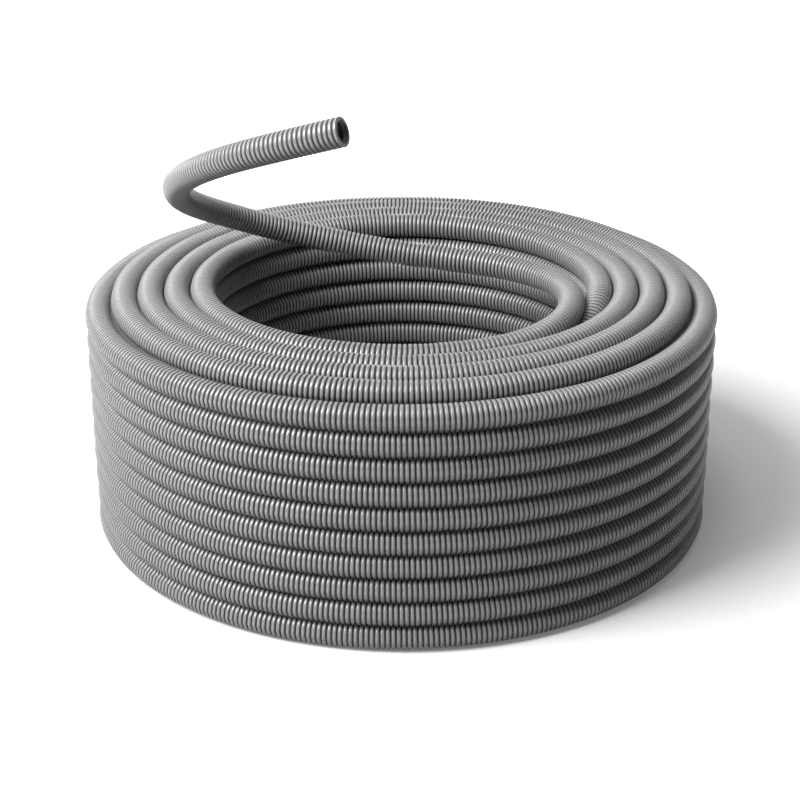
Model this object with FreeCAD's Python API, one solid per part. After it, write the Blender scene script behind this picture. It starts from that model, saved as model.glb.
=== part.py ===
# A coil of corrugated flexible conduit, standing on the floor on one end.
# It is wound in columns of turns round an eye, and the last turn's end curls up free.
# Millimetres, +Z up, origin on the floor at the middle of the eye.
import FreeCAD, Part
import math
import os

from FreeCAD import Placement, Rotation, Vector

# The conduit's section
CONDUIT_D = 16.0            # outer diameter, over the ribs
WALL_DEPTH = 2.15           # from the clear bore out to the ribs' tops
WALL = 1.05                 # thickness of the wall under a groove and over a recess
TUBE_SIDES = 12             # flats round the stretch whose ribs are left off

# The ribs of the open end, which is cut square through a rib
RIB_PITCH = 2.9             # from one rib to the next
RIB_LAND = 1.5              # width of a rib's top
RIB_FLANK = 0.25            # length of the slope at each side of a rib
RECESS_W = 0.9              # width of the groove inside the bore, under each rib
MOUTH_RIBS = 6              # ribs on the straight stretch at the open end

# The coil
EYE_D = 230.0               # the hole through the coil
LAYERS = 10                 # turns in each column
NESTING = (0.4, 0.4, 0.4, 0.6, 1.4)   # how far each column's turns sink into one another
TURN_FLAT = 7.0             # width of the flat that a turn shows on the coil's ends
CORE_REACH = 3.0            # how far the solid core reaches beyond the outer turns' middles

# Where the last turn leaves the coil, in degrees round from +X
LEAVE_AT = -80.0            # the free end starts here
CLIMB_FROM = -40.0          # the turn under it starts to climb
CLIMB_TO = -9.0             # and has reached the top
CLIMB_STEPS = 5             # straight stretches of the climb
LEAVE_ROOM = 2.6            # room beside the free end, in the place that it leaves

# Corners of the free end's route after its start, up to the open end. Across, they are
# shares of the inner column's radius, and up, they count from its top turn's middle.
FREE_POINTS = (
    (0.278, -0.966, 0.0),
    (0.462, -0.901, 0.2),
    (0.634, -0.777, 0.8),
    (0.776, -0.581, 2.2),
    (0.841, -0.346, 3.2),
    (0.820, -0.103, 2.6),
    (0.715, 0.117, 0.8),
    (0.535, 0.293, -0.4),
    (0.267, 0.412, -0.4),
    (-0.049, 0.463, 2.6),
    (-0.374, 0.490, 9.6),
    (-0.667, 0.447, 19.6),
    (-0.894, 0.305, 33.6),
    (-1.045, 0.049, 50.1),
    (-1.085, -0.276, 69.1),
    (-1.024, -0.614, 88.6),
    (-0.858, -0.923, 107.6),
    (-0.581, -1.163, 124.6),
    (-0.244, -1.289, 138.1),
)
BEND_SHARE = 0.45           # share of the shorter run that each bend takes

UP = Vector(0, 0, 1)
radius = CONDUIT_D / 2
bore_radius = radius - WALL_DEPTH
columns = len(NESTING)
column_radii = [EYE_D / 2 + radius + i * CONDUIT_D for i in range(columns)]
layer_pitches = [CONDUIT_D - sunk for sunk in NESTING]
top_heights = [radius + (LAYERS - 1) * pitch for pitch in layer_pitches]


def turn_outline(r, z):
    """One turn cut across, flat on top and below, with an edge where its round is widest."""
    half = TURN_FLAT / 2
    points = [
        Vector(r + radius, 0, z),
        Vector(r + half, 0, z + radius),
        Vector(r - half, 0, z + radius),
        Vector(r - radius, 0, z),
        Vector(r - half, 0, z - radius),
        Vector(r + half, 0, z - radius),
    ]
    return Part.makePolygon(points + points[:1])


def shown_turns():
    """Column and layer of every turn on a side or an end of the coil."""
    for column in range(columns):
        for layer in range(LAYERS):
            if column in (0, columns - 1) or layer in (0, LAYERS - 1):
                yield column, layer


def core_section():
    """The hidden turns, as one area that ends in the grooves between the outer turns."""
    inside = column_radii[0] - CORE_REACH
    outside = column_radii[-1] + CORE_REACH
    bottom = radius - CORE_REACH
    points = [Vector(inside, 0, bottom), Vector(outside, 0, bottom)]
    points.append(Vector(outside, 0, top_heights[-1] + CORE_REACH))
    for r, z in zip(column_radii[-2:0:-1], top_heights[-2:0:-1]):
        points.append(Vector(r, 0, z + CORE_REACH))
    points.append(Vector(inside, 0, top_heights[0] + CORE_REACH))
    return Part.Face(Part.makePolygon(points + points[:1]))


def empty_place(start, end):
    """The top of the inner column's ring between two angles, with room beside it."""
    floor = Vector(0, 0, top_heights[0] - radius)
    height = CONDUIT_D * 2
    outer = column_radii[0] + radius + LEAVE_ROOM
    band = Part.makeCylinder(outer, height, floor, UP, end - start)
    band = band.cut(Part.makeCylinder(column_radii[0] - CONDUIT_D, height, floor, UP))
    band.rotate(Vector(), UP, start)
    return band


def climbing_turn():
    """The stretch of the inner column that climbs from under the free end to the top."""
    outlines = []
    for i in range(CLIMB_STEPS + 1):
        share = i / CLIMB_STEPS
        z = top_heights[0] - (1 - share) * layer_pitches[0]
        outline = turn_outline(column_radii[0], z)
        outline.rotate(Vector(), UP, CLIMB_FROM + share * (CLIMB_TO - CLIMB_FROM))
        outlines.append(outline)
    return Part.makeLoft(outlines, True, True)


def conduit_coil():
    turns = []
    for column, layer in shown_turns():
        outline = turn_outline(column_radii[column], radius + layer * layer_pitches[column])
        turns.append(Part.Face(outline))
    section = core_section().multiFuse(turns).removeSplitter()
    coil = section.revolve(Vector(), UP, 360).cut(empty_place(LEAVE_AT, CLIMB_TO))
    return coil.fuse(climbing_turn()).removeSplitter().Solids[0]


def free_corners():
    """The route's corners, from the end face of the inner column's top turn."""
    angle = math.radians(LEAVE_AT)
    r = column_radii[0]
    top = top_heights[0]
    start = Vector(r * math.cos(angle), r * math.sin(angle), top)
    return [start] + [Vector(x * r, y * r, top + z) for x, y, z in FREE_POINTS]


def free_route(corners, cut_back):
    """Straight runs joined by bends that touch them, ending short of the last corner."""
    edges = []
    here = corners[0]
    for before, corner, after in zip(corners, corners[1:], corners[2:]):
        back = (before - corner).normalize()
        ahead = (after - corner).normalize()
        half_turn = (math.pi - back.getAngle(ahead)) / 2
        setback = BEND_SHARE * min((before - corner).Length, (after - corner).Length)
        bend = setback / math.tan(half_turn)
        print("bend", len(edges) // 2 + 1, "radius", round(bend, 1))
        start = corner + back * setback
        end = corner + ahead * setback
        inward = (back + ahead).normalize()
        middle = corner + inward * (bend / math.cos(half_turn) - bend)
        edges.append(Part.LineSegment(here, start).toShape())
        edges.append(Part.Arc(start, middle, end).toShape())
        here = end
    heading = (corners[-1] - here).normalize()
    print("straight at the open end", round((corners[-1] - here).Length, 2))
    edges.append(Part.LineSegment(here, corners[-1] - heading * cut_back).toShape())
    return Part.Wire(edges), heading


def plain_tube(route, start, heading):
    """The stretch whose ribs and bore are left off, with its corners on the true round."""
    across = heading.cross(UP).normalize() * radius
    points = []
    for i in range(TUBE_SIDES + 1):
        turn = Rotation(heading, 360 * i / TUBE_SIDES)
        points.append(start + turn.multVec(across))
    section = Part.Face(Part.makePolygon(points))
    tube = route.makePipe(section)
    share = tube.Volume / (section.Area * route.Length)
    print("tube length", round(route.Length, 1), "volume share", round(share, 5))
    return tube


def ribbed_mouth():
    """The open end, turned about Z, from its end face at 0 back down its ribs."""
    groove = bore_radius + WALL
    recess = radius - WALL
    outside = []
    inside = []
    for i in range(MOUTH_RIBS):
        front = -i * RIB_PITCH
        outside.append(Vector(radius, 0, front))
        outside.append(Vector(radius, 0, front - RIB_LAND))
        outside.append(Vector(groove, 0, front - RIB_LAND - RIB_FLANK))
        outside.append(Vector(groove, 0, front - RIB_PITCH + RIB_FLANK))
        middle = front - RIB_LAND / 2
        inside.append(Vector(bore_radius, 0, middle + RECESS_W / 2))
        inside.append(Vector(recess, 0, middle))
        inside.append(Vector(bore_radius, 0, middle - RECESS_W / 2))
    back = -MOUTH_RIBS * RIB_PITCH
    outside.append(Vector(radius, 0, back))
    inside.append(Vector(bore_radius, 0, back))
    points = [Vector(bore_radius, 0, 0)] + outside + inside[::-1]
    return Part.Face(Part.makePolygon(points + points[:1])).revolve(Vector(), UP, 360)


def free_end():
    corners = free_corners()
    route, heading = free_route(corners, MOUTH_RIBS * RIB_PITCH)
    first_heading = (corners[1] - corners[0]).normalize()
    tube = plain_tube(route, corners[0], first_heading)
    mouth = ribbed_mouth()
    mouth.Placement = Placement(corners[-1], Rotation(UP, heading))
    print("open end at", [round(part, 4) for part in corners[-1]])
    print("open end heads", [round(part, 6) for part in heading])
    return tube.fuse(mouth).Solids[0]


def main():
    os.makedirs("parts", exist_ok=True)
    for name, shape in (("conduit_coil", conduit_coil()), ("free_end", free_end())):
        print(name, "valid", shape.isValid(), "volume", round(shape.Volume))
        shape.exportStep(f"parts/{name}.step")


main()
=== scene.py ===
import math

import bpy
import numpy as np
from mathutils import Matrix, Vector

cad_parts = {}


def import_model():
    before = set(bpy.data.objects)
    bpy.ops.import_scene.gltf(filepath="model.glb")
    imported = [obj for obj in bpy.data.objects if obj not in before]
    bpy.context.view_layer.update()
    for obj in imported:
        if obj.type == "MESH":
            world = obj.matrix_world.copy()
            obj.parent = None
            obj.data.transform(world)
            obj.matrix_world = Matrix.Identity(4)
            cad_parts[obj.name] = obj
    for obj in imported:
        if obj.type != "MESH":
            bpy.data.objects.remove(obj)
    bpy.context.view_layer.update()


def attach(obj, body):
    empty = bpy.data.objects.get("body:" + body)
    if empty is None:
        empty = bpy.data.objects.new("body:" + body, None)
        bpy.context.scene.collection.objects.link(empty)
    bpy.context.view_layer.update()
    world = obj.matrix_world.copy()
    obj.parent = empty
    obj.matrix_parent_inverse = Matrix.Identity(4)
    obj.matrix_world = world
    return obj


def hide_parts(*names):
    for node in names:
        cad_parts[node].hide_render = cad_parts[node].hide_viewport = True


# The conduit, as in the part's source
CONDUIT_D = 0.016           # outer diameter, over the ribs
WALL_DEPTH = 0.00215        # from the clear bore out to the ribs' tops
WALL = 0.00105              # thickness of the wall under a groove and over a recess
RIB_PITCH = 0.0029          # from one rib to the next

# The coil, as in the part's source
EYE_D = 0.230               # the hole through the coil
LAYERS = 10                 # turns in each column
NESTING = (0.0004, 0.0004, 0.0004, 0.0006, 0.0014)   # how far a column's turns sink together
LEAVE_AT = -80.0            # degrees round from +X, where the free end starts
CLIMB_FROM = -40.0          # where a turn of the inner column starts to climb to the next
CLIMB_TO = -9.0             # and where it has reached it

# Corners of the free end's route after its start. Across, they are shares of the inner
# column's radius, and up, they count from its top turn's middle.
FREE_POINTS = (
    (0.278, -0.966, 0.0000),
    (0.462, -0.901, 0.0002),
    (0.634, -0.777, 0.0008),
    (0.776, -0.581, 0.0022),
    (0.841, -0.346, 0.0032),
    (0.820, -0.103, 0.0026),
    (0.715, 0.117, 0.0008),
    (0.535, 0.293, -0.0004),
    (0.267, 0.412, -0.0004),
    (-0.049, 0.463, 0.0026),
    (-0.374, 0.490, 0.0096),
    (-0.667, 0.447, 0.0196),
    (-0.894, 0.305, 0.0336),
    (-1.045, 0.049, 0.0501),
    (-1.085, -0.276, 0.0691),
    (-1.024, -0.614, 0.0886),
    (-0.858, -0.923, 0.1076),
    (-0.581, -1.163, 0.1246),
    (-0.244, -1.289, 0.1381),
)

# One rib and the groove after it: shares of the pitch, and the relief there, which is 1 on
# top of a rib and 0 at the foot of a groove. In the bore, 1 is the wall and 0 is the recess.
RIB_PROFILE = ((0.0, 0.84), (0.12, 1.0), (0.48, 1.0), (0.60, 0.84), (0.68, 0.0), (0.92, 0.0))
LAST_RIB = ((0.0, 0.84), (0.12, 1.0), (0.48, 1.0), (0.54, 0.92))
BORE_PROFILE = ((0.0, 1.0), (0.10, 1.0), (0.18, 0.0), (0.34, 0.0), (0.42, 1.0))
BORE_RIBS = 40              # ribs to which the free end is hollow, from its open end
# At this relief the bore's wall takes mostly the painted groove shade, and its recesses all of
# it.
BORE_RELIEF = 0.6           # the relief that the material sees on the bore's wall

# How far the turns depart from true circles
WOBBLE = 0.00022            # height of a turn's waves, divided by their number round it
WOBBLE_WAVES = (2, 3, 5)    # the numbers of waves round a turn, all added up

# The last turn of the inner column shows all round, as does this share of the one before
LEAD_IN = 0.03

# How finely the shapes are drawn
ARC_STEP = 32               # degrees along the section of a turn in the coil
FREE_SIDES = 26             # points round the section of the free end
LINE_STEPS = 48             # points of the free end's line from one corner to the next
CORE_STEPS = 144            # points round the hidden turns
ROUNDING = 1e-9             # keeps a whole turn from being counted as the one before

# The part of each turn's section that shows: degrees, 0 away from the axis and 90 up
FACING = {
    "out": (-95, 95),
    "up": (-30, 200),
    "up, beside the gap": (-30, 275),
    "in": (85, 275),
    "down": (-200, 20),
    "out and up": (-95, 200),
    "in and down": (85, 380),
    "down and out": (-200, 95),
    "all round": (0, 360),
}

# The conduit's looks. Each pair is a value that is read and the grey that it gives, and
# between the two pairs the grey changes evenly.
# Painted shade: where the relief is low, the conduit takes a dark groove tone in place of the
# rib tone, standing for the shade that falls in its grooves.
ON_RIB = ((0.55, 0.0), (0.95, 1.0))             # reads the relief: 0 in a groove, 1 on a rib
RIB_TONE = ((0.3, 0.32), (0.7, 0.35))
GROOVE_SHADE_TONE = ((0.3, 0.05), (0.7, 0.08))
SCUFF_TONE = ((0.3, 0.40), (0.7, 0.46))
SCUFF_SHARE = ((0.64, 0.0), (0.78, 0.22))       # how much of the scuffs' tone is mixed in
RIB_ROUGHNESS = ((0.3, 0.28), (0.75, 0.33))
GROOVE_ROUGHNESS = ((0.3, 0.6), (0.7, 0.75))
BLUE = 1.01                 # blue in the conduit's greys, as a multiple of their red and green
GRAIN_DEPTH = 0.0002
GRAIN_STRENGTH = 0.06

# The camera stands and aims as the photograph's did. Its sensor and lens are in millimetres.
CAMERA_AT = (-0.00076, -1.0298, 0.5107)
CAMERA_AIM = (-0.00076, 0.0, 0.0702)
SENSOR = 36.0
LENS = 78.65
SIGHT = 50.0                # how far the camera sees

# The floor, and the backdrop into which it bends up behind the coil
FLOOR_REACH = 6.0           # from the coil to the floor's edge at the front and the sides
BEND_AT = 4.0               # from the coil back to the foot of the bend
BEND_RADIUS = 1.5
BEND_STEPS = 16
BACKDROP_TOP = 6.0
FLOOR_TONE = ((0.0, 0.89), (1.0, 0.91))
FLOOR_BOUNCE = 0.15         # share of the light that the floor throws back onto the coil
# Painted light: the glow grows with the distance from the coil and lightens the coil's shadow
# farther out.
NEAR_GLOW = (0.2, 0.14)     # metres from the eye's middle, and how the floor glows up to there
FAR_GLOW = (0.7, 1.0)       # and how it glows from here on. Only the camera and gloss see it.

# The light
WORLD_LIGHT = 0.07          # strength of the light from all round
WORLD_SEEN = 1.0            # and as the camera sees it
LAMP_AIM = (0.0, 0.0, 0.08)

radius = CONDUIT_D / 2
groove_radius = radius - WALL_DEPTH + WALL
groove_depth = radius - groove_radius
bore_radius = radius - WALL_DEPTH
columns = len(NESTING)
column_radii = [EYE_D / 2 + radius + i * CONDUIT_D for i in range(columns)]
layer_pitches = [CONDUIT_D - sunk for sunk in NESTING]
outer = columns - 1
top = LAYERS - 1


def height(column, layer):
    """Height of a turn's middle."""
    return radius + layer * layer_pitches[column]


# Camera

def add_camera():
    data = bpy.data.cameras.new("camera")
    data.sensor_width = SENSOR
    data.lens = LENS
    data.clip_end = SIGHT
    camera = bpy.data.objects.new("camera", data)
    bpy.context.scene.collection.objects.link(camera)
    camera.location = CAMERA_AT
    view = Vector(CAMERA_AIM) - Vector(CAMERA_AT)
    camera.rotation_euler = view.to_track_quat("-Z", "Y").to_euler()
    bpy.context.scene.camera = camera


# Meshes

def mesh_object(name, parts):
    """One object from parts: for each, its points, their relief and its faces.

    The relief is 1 on top of a rib and 0 in a groove, and the material reads it. Faces with
    four corners are shaded smooth, and the caps of open tubes flat."""
    points = []
    reliefs = []
    faces = []
    offset = 0
    for part_points, part_reliefs, part_faces in parts:
        points.append(part_points)
        reliefs.append(part_reliefs)
        faces.extend([tuple(i + offset for i in face) for face in part_faces])
        offset += len(part_points)
    mesh = bpy.data.meshes.new(name)
    mesh.from_pydata(np.concatenate(points).tolist(), [], faces)
    mesh.polygons.foreach_set("use_smooth", [len(face) == 4 for face in faces])
    relief = mesh.attributes.new("relief", "FLOAT", "POINT")
    relief.data.foreach_set("value", np.concatenate(reliefs))
    mesh.update()
    obj = bpy.data.objects.new(name, mesh)
    bpy.context.scene.collection.objects.link(obj)
    return obj


def skin(rings, ring_reliefs, closed):
    """A tube as one part. Each ring is one closed section; open ends get caps."""
    count, around, _ = rings.shape
    ring = np.arange(count if closed else count - 1)[:, None]
    here = np.arange(around)[None, :]
    beside = (here + 1) % around
    after = (ring + 1) % count
    corners = (
        ring * around + here,
        ring * around + beside,
        after * around + beside,
        after * around + here,
    )
    quads = np.stack([np.broadcast_to(c, (len(ring), around)) for c in corners], axis=-1)
    faces = quads.reshape(-1, 4).tolist()
    if not closed:
        first = list(range(around))
        faces.append(first[::-1])
        faces.append([i + (count - 1) * around for i in first])
    return rings.reshape(-1, 3), np.repeat(ring_reliefs, around), faces


def section_angles(facing):
    """Angles along the shown part of a section. A chord on the hidden side closes it."""
    start, end = FACING[facing]
    steps = round((end - start) / ARC_STEP)
    angles = np.linspace(math.radians(start), math.radians(end), steps + 1)
    return angles[:-1] if end - start == 360 else angles


def rib_stations(count, profile, phase):
    """Places along a stretch of ribs, in pitches, and the relief at each."""
    shares, relief = np.array(profile).T
    places = (np.arange(count)[:, None] + shares + phase).ravel()
    return places, np.tile(relief, count)


def outer_radii(relief):
    """Radius of the conduit's outside for each relief."""
    return groove_radius + relief * groove_depth


# Turns of the coil

def ribs_round(column):
    """Whole ribs in one turn of a column."""
    return round(2 * math.pi * column_radii[column] / RIB_PITCH)


def level_turn(column, layer, facing):
    """A closed ring of conduit. Its ribs stand half a pitch off those of its neighbours."""
    count = ribs_round(column)
    places, relief = rib_stations(count, RIB_PROFILE, phase=(column + layer) % 2 / 2)
    around = places / count * 2 * math.pi
    rng = np.random.default_rng(100 * column + layer)   # each turn wanders in its own way
    wander = np.zeros((2, len(around)))
    for waves in WOBBLE_WAVES:
        for axis in range(2):
            wander[axis] += np.sin(waves * around + rng.uniform(0, 2 * math.pi)) / waves
    wander *= WOBBLE
    angles = section_angles(facing)
    size = outer_radii(relief)[:, None]
    reach = column_radii[column] + wander[0][:, None] + size * np.cos(angles)
    rise = height(column, layer) + wander[1][:, None] + size * np.sin(angles)
    turn = around[:, None]
    rings = np.stack([
        reach * np.cos(turn),
        reach * np.sin(turn),
        np.maximum(rise, 0.0),      # nothing reaches below the floor
    ], axis=-1)
    return skin(rings, relief, closed=True)


def eased(share):
    """From 0 to 1, level at both ends."""
    return share * share * (3 - 2 * share)


def inner_stretch(first, last, facing):
    """Part of the inner column, where each turn climbs to the next one between two angles.

    first and last are in turns: 0 is on the floor, at the angle where the climbs end. Each
    turn has half a rib over, so that its ribs stand half a pitch off its neighbours'."""
    ring_radius = column_radii[0]
    count = round((last - first) * (ribs_round(0) + 0.5))
    places, relief = rib_stations(count, RIB_PROFILE, phase=0.0)
    places = np.append(places, count)
    relief = np.append(relief, relief[0])
    turns = first + places / count * (last - first)
    climb = (CLIMB_TO - CLIMB_FROM) / 360
    risen = np.clip((turns % 1.0 - (1 - climb)) / climb, 0, 1)
    layer = np.floor(turns + ROUNDING) + eased(risen)
    middle = height(0, 0) + layer * layer_pitches[0]
    around = math.radians(CLIMB_TO) + turns * 2 * math.pi
    slope = np.gradient(middle, around) / ring_radius
    lean = np.arctan(slope)[:, None]
    angles = section_angles(facing)
    size = outer_radii(relief)[:, None]
    reach = ring_radius + size * np.cos(angles)
    rise = middle[:, None] + size * np.sin(angles) * np.cos(lean)
    back = size * np.sin(angles) * np.sin(lean)
    turn = around[:, None]
    rings = np.stack([
        reach * np.cos(turn) + back * np.sin(turn),
        reach * np.sin(turn) - back * np.cos(turn),
        np.maximum(rise, 0.0),      # nothing reaches below the floor
    ], axis=-1)
    return skin(rings, relief, closed=False)


def hidden_core():
    """The turns that nothing shows, as one plain ring behind the grooves."""
    section = [(column_radii[0], height(0, 0)), (column_radii[outer], height(outer, 0))]
    for column in range(outer, 1, -1):
        section.append((column_radii[column], height(column, top)))
    for column in (1, 0):
        section.append((column_radii[column], height(column, top - 1)))
    reach, rise = np.array(section).T
    around = np.linspace(0, 2 * math.pi, CORE_STEPS, endpoint=False)[:, None]
    rings = np.stack([
        reach * np.cos(around),
        reach * np.sin(around),
        np.tile(rise, (CORE_STEPS, 1)),
    ], axis=-1)
    return skin(rings, np.zeros(CORE_STEPS), closed=True)


def coil_pieces():
    """Every turn that shows, in groups small enough for one mesh each."""
    half = LAYERS // 2
    leave = ((LEAVE_AT - CLIMB_TO) % 360) / 360
    whole_from = top - 1 + leave - LEAD_IN
    groups = {
        "outer_side_low": [level_turn(outer, 0, "down and out")]
        + [level_turn(outer, layer, "out") for layer in range(1, half)],
        "outer_side_high": [level_turn(outer, layer, "out") for layer in range(half, top)]
        + [level_turn(outer, top, "out and up")],
        "top_turns": [level_turn(1, top, "up, beside the gap"), level_turn(1, top - 1, "up")]
        + [level_turn(column, top, "up") for column in range(2, outer)],
        "bottom_turns": [level_turn(column, 0, "down") for column in range(1, outer)],
        "inner_side_low": [inner_stretch(0, 1, "in and down")]
        + [inner_stretch(1, half, "in")],
        "inner_side_high": [inner_stretch(half, whole_from, "in")]
        + [inner_stretch(whole_from, top + leave, "all round")],
        "hidden_turns": [hidden_core()],
    }
    return [mesh_object(name, parts) for name, parts in groups.items()]


# The free end

def free_corners():
    """The route's corners, from the end of the inner column's top turn."""
    angle = math.radians(LEAVE_AT)
    r = column_radii[0]
    z = height(0, top)
    corners = [(r * math.cos(angle), r * math.sin(angle), z)]
    return corners + [(x * r, y * r, z + up) for x, y, up in FREE_POINTS]


def smooth_line(corners):
    """Points read from the smooth curve that has the corners as its control points."""
    curve = bpy.data.curves.new("free_route", "CURVE")
    curve.dimensions = "3D"
    curve.resolution_u = LINE_STEPS
    spline = curve.splines.new("NURBS")
    spline.points.add(len(corners) - 1)
    for point, corner in zip(spline.points, corners):
        point.co = (*corner, 1.0)
    spline.order_u = 3
    spline.use_endpoint_u = True
    holder = bpy.data.objects.new("free_route", curve)
    bpy.context.scene.collection.objects.link(holder)
    line = bpy.data.meshes.new_from_object(holder)
    points = np.array([v.co for v in line.vertices])
    bpy.data.objects.remove(holder)
    bpy.data.curves.remove(curve)
    bpy.data.meshes.remove(line)
    return points


def read_along(values, lengths, stations):
    """Vectors that are known at some lengths along a line, read at other places on it."""
    return np.stack([np.interp(stations, lengths, part) for part in values.T], axis=1)


def sections_along(line, lengths, stations):
    """Middle of each section of a tube, and two directions across it."""
    middles = read_along(line, lengths, stations)
    headings = read_along(np.gradient(line, lengths, axis=0), lengths, stations)
    headings /= np.linalg.norm(headings, axis=1)[:, None]
    across = np.cross((0, 0, 1), headings)
    across /= np.linalg.norm(across, axis=1)[:, None]
    return middles, across, np.cross(headings, across)


def free_end():
    """The ribbed tube of the free end, open and hollow at its mouth, and its middle line."""
    line = smooth_line(free_corners())
    steps = np.linalg.norm(np.diff(line, axis=0), axis=1)
    lengths = np.concatenate([[0], np.cumsum(steps)])
    last_rib = LAST_RIB[-1][0]
    whole_ribs = round(lengths[-1] / RIB_PITCH - last_rib)
    count = whole_ribs + last_rib
    pitch = lengths[-1] / count
    outside, relief = rib_stations(whole_ribs, RIB_PROFILE, phase=0.0)
    ending, ending_relief = rib_stations(1, LAST_RIB, phase=whole_ribs)
    inside, recesses = rib_stations(BORE_RIBS, BORE_PROFILE, phase=0.0)
    stations = np.concatenate([outside, ending, count - inside]) * pitch
    middles, across, upward = sections_along(line, lengths, stations)
    relief = np.concatenate([relief, ending_relief])
    bores = bore_radius + (1 - recesses) * WALL
    size = np.concatenate([outer_radii(relief), bores])[:, None, None]
    turn = np.linspace(0, 2 * math.pi, FREE_SIDES, endpoint=False)[None, :, None]
    rings = middles[:, None, :] + size * (
        np.cos(turn) * across[:, None, :] + np.sin(turn) * upward[:, None, :]
    )
    relief = np.concatenate([relief, recesses * BORE_RELIEF])
    return mesh_object("free_conduit", [skin(rings, relief, closed=False)]), line


# Materials

def new_material(name):
    """A material, its node tree and its shader."""
    material = bpy.data.materials.new(name)
    material.use_nodes = True
    tree = material.node_tree
    return material, tree, tree.nodes["Principled BSDF"]


def add_noise(tree, place, scale, detail):
    """Noise that is finer the higher its scale is."""
    node = tree.nodes.new("ShaderNodeTexNoise")
    node.inputs["Scale"].default_value = scale
    node.inputs["Detail"].default_value = detail
    tree.links.new(place, node.inputs["Vector"])
    return node.outputs["Fac"]


def add_ramp(tree, value, stops, blue=1.0):
    """The grey that two pairs of a value and a grey give for what is read."""
    node = tree.nodes.new("ShaderNodeValToRGB")
    for element, (position, grey) in zip(node.color_ramp.elements, stops):
        element.position = position
        element.color = (grey, grey, grey * blue, 1)
    tree.links.new(value, node.inputs["Fac"])
    return node.outputs["Color"]


def add_mix(tree, share, low, high):
    """The low colour where the share is 0, and the high one where it is 1."""
    node = tree.nodes.new("ShaderNodeMix")
    node.data_type = "RGBA"
    tree.links.new(share, node.inputs["Factor"])
    tree.links.new(low, node.inputs["A"])
    tree.links.new(high, node.inputs["B"])
    return node.outputs["Result"]


def add_math(tree, operation, first, second):
    node = tree.nodes.new("ShaderNodeMath")
    node.operation = operation
    tree.links.new(first, node.inputs[0])
    tree.links.new(second, node.inputs[1])
    return node.outputs[0]


def conduit_material():
    """Satin grey plastic with a faint grain and handling marks, and painted shade in its
    grooves.
    """
    material, tree, shader = new_material("conduit_plastic")
    place = tree.nodes.new("ShaderNodeTexCoord").outputs["Object"]

    def blotches(scale, detail, stops):
        """Greys in soft patches."""
        return add_ramp(tree, add_noise(tree, place, scale, detail), stops, BLUE)

    relief = tree.nodes.new("ShaderNodeAttribute")
    relief.attribute_name = "relief"
    on_rib = add_ramp(tree, relief.outputs["Fac"], ON_RIB, BLUE)

    rib_tone = blotches(scale=14, detail=4, stops=RIB_TONE)
    groove_shade_tone = blotches(scale=90, detail=3, stops=GROOVE_SHADE_TONE)
    # Painted shade: the dark tone mixed in where the relief is low stands for the shade in the
    # grooves.
    tone = add_mix(tree, on_rib, groove_shade_tone, rib_tone)
    scuff_share = blotches(scale=170, detail=6, stops=SCUFF_SHARE)
    scuff_tone = blotches(scale=400, detail=2, stops=SCUFF_TONE)
    scuffs = add_math(tree, "MULTIPLY", on_rib, scuff_share)
    tree.links.new(add_mix(tree, scuffs, tone, scuff_tone), shader.inputs["Base Color"])

    rib_roughness = blotches(scale=60, detail=5, stops=RIB_ROUGHNESS)
    groove_roughness = blotches(scale=90, detail=3, stops=GROOVE_ROUGHNESS)
    roughness = add_mix(tree, on_rib, groove_roughness, rib_roughness)
    tree.links.new(roughness, shader.inputs["Roughness"])
    shader.inputs["Specular IOR Level"].default_value = 1.0

    bump = tree.nodes.new("ShaderNodeBump")
    bump.inputs["Strength"].default_value = GRAIN_STRENGTH
    bump.inputs["Distance"].default_value = GRAIN_DEPTH
    tree.links.new(add_noise(tree, place, scale=2200, detail=2), bump.inputs["Height"])
    tree.links.new(bump.outputs["Normal"], shader.inputs["Normal"])
    return material


def floor_material():
    """Pale paint that keeps the coil's shadow, with a painted glow that rises away from the
    coil: it turns the floor white and lightens the shadow farther out.
    """
    material, tree, shader = new_material("floor_paint_and_glow")
    shader.inputs["Roughness"].default_value = 0.9
    shader.inputs["Specular IOR Level"].default_value = 0.1
    shader.inputs["Emission Color"].default_value = (1, 1, 1, 1)
    place = tree.nodes.new("ShaderNodeTexCoord").outputs["Object"]
    rays = tree.nodes.new("ShaderNodeLightPath").outputs

    away = tree.nodes.new("ShaderNodeVectorMath")
    away.operation = "LENGTH"
    tree.links.new(place, away.inputs[0])
    glow = tree.nodes.new("ShaderNodeMapRange")
    for end, (distance, strength) in (("Min", NEAR_GLOW), ("Max", FAR_GLOW)):
        glow.inputs[f"From {end}"].default_value = distance
        glow.inputs[f"To {end}"].default_value = strength
    tree.links.new(away.outputs["Value"], glow.inputs["Value"])
    seen = add_math(tree, "ADD", rays["Is Camera Ray"], rays["Is Glossy Ray"])
    glow_seen = add_math(tree, "MULTIPLY", seen, glow.outputs["Result"])
    tree.links.new(glow_seen, shader.inputs["Emission Strength"])

    noise = add_noise(tree, place, scale=8, detail=2)
    bounce = tree.nodes.new("ShaderNodeMix")
    bounce.data_type = "RGBA"
    tree.links.new(rays["Is Diffuse Ray"], bounce.inputs["Factor"])
    tree.links.new(add_ramp(tree, noise, FLOOR_TONE), bounce.inputs["A"])
    bounce.inputs["B"].default_value = (FLOOR_BOUNCE, FLOOR_BOUNCE, FLOOR_BOUNCE, 1)
    tree.links.new(bounce.outputs["Result"], shader.inputs["Base Color"])
    return material


# Studio

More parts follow.
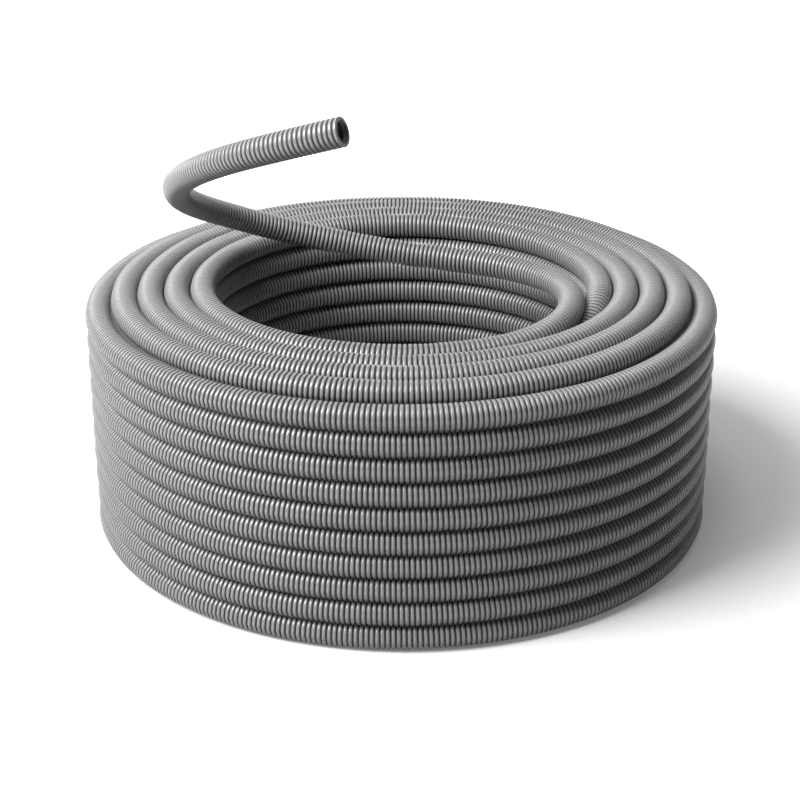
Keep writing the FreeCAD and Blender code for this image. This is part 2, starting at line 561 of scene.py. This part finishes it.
def add_floor():
    """A flat floor that turns up into a backdrop far behind the coil."""
    line = [(-FLOOR_REACH, 0.0)]
    for i in range(BEND_STEPS + 1):
        angle = i / BEND_STEPS * math.pi / 2
        y = BEND_AT + BEND_RADIUS * math.sin(angle)
        line.append((y, BEND_RADIUS * (1 - math.cos(angle))))
    line.append((BEND_AT + BEND_RADIUS, BACKDROP_TOP))
    points = [(side * FLOOR_REACH, y, z) for side in (-1, 1) for y, z in line]
    n = len(line)
    faces = [(i, i + n, i + n + 1, i + 1) for i in range(n - 1)]
    floor = mesh_object("floor", [(np.array(points), np.zeros(len(points)), faces)])
    floor.data.materials.append(floor_material())


def add_lamp(name, azimuth, elevation, distance, size, power):
    """A soft square lamp that faces the coil."""
    data = bpy.data.lights.new(name, "AREA")
    data.size = size
    data.energy = power
    lamp = bpy.data.objects.new(name, data)
    bpy.context.scene.collection.objects.link(lamp)
    a = math.radians(azimuth)
    e = math.radians(elevation)
    away = Vector((math.cos(e) * math.cos(a), math.cos(e) * math.sin(a), math.sin(e)))
    lamp.location = Vector(LAMP_AIM) + away * distance
    lamp.rotation_euler = (-away).to_track_quat("-Z", "Y").to_euler()


def add_world():
    """Dim light from all round. The camera sees it as white."""
    world = bpy.data.worlds.new("studio")
    bpy.context.scene.world = world
    world.use_nodes = True
    nodes = world.node_tree.nodes
    links = world.node_tree.links
    back = nodes["Background"]
    back.inputs["Color"].default_value = (1, 1, 1, 1)
    rays = nodes.new("ShaderNodeLightPath")
    strength = nodes.new("ShaderNodeMapRange")
    strength.inputs["To Min"].default_value = WORLD_LIGHT
    strength.inputs["To Max"].default_value = WORLD_SEEN
    links.new(rays.outputs["Is Camera Ray"], strength.inputs["Value"])
    links.new(strength.outputs["Result"], back.inputs["Strength"])


def main():
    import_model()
    add_camera()
    plastic = conduit_material()

    tube, line = free_end()
    tube.data.materials.append(plastic)
    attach(tube, "root")
    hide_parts("free_end")

    for piece in coil_pieces():
        piece.data.materials.append(plastic)
        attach(piece, "root")
        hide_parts("conduit_coil")

    add_floor()
    add_world()
    add_lamp("key", azimuth=-153, elevation=48, distance=2.2, size=1.2, power=72)
    add_lamp("overhead", azimuth=-90, elevation=80, distance=2.0, size=0.7, power=6)
    bpy.context.scene.view_settings.view_transform = "Standard"


main()
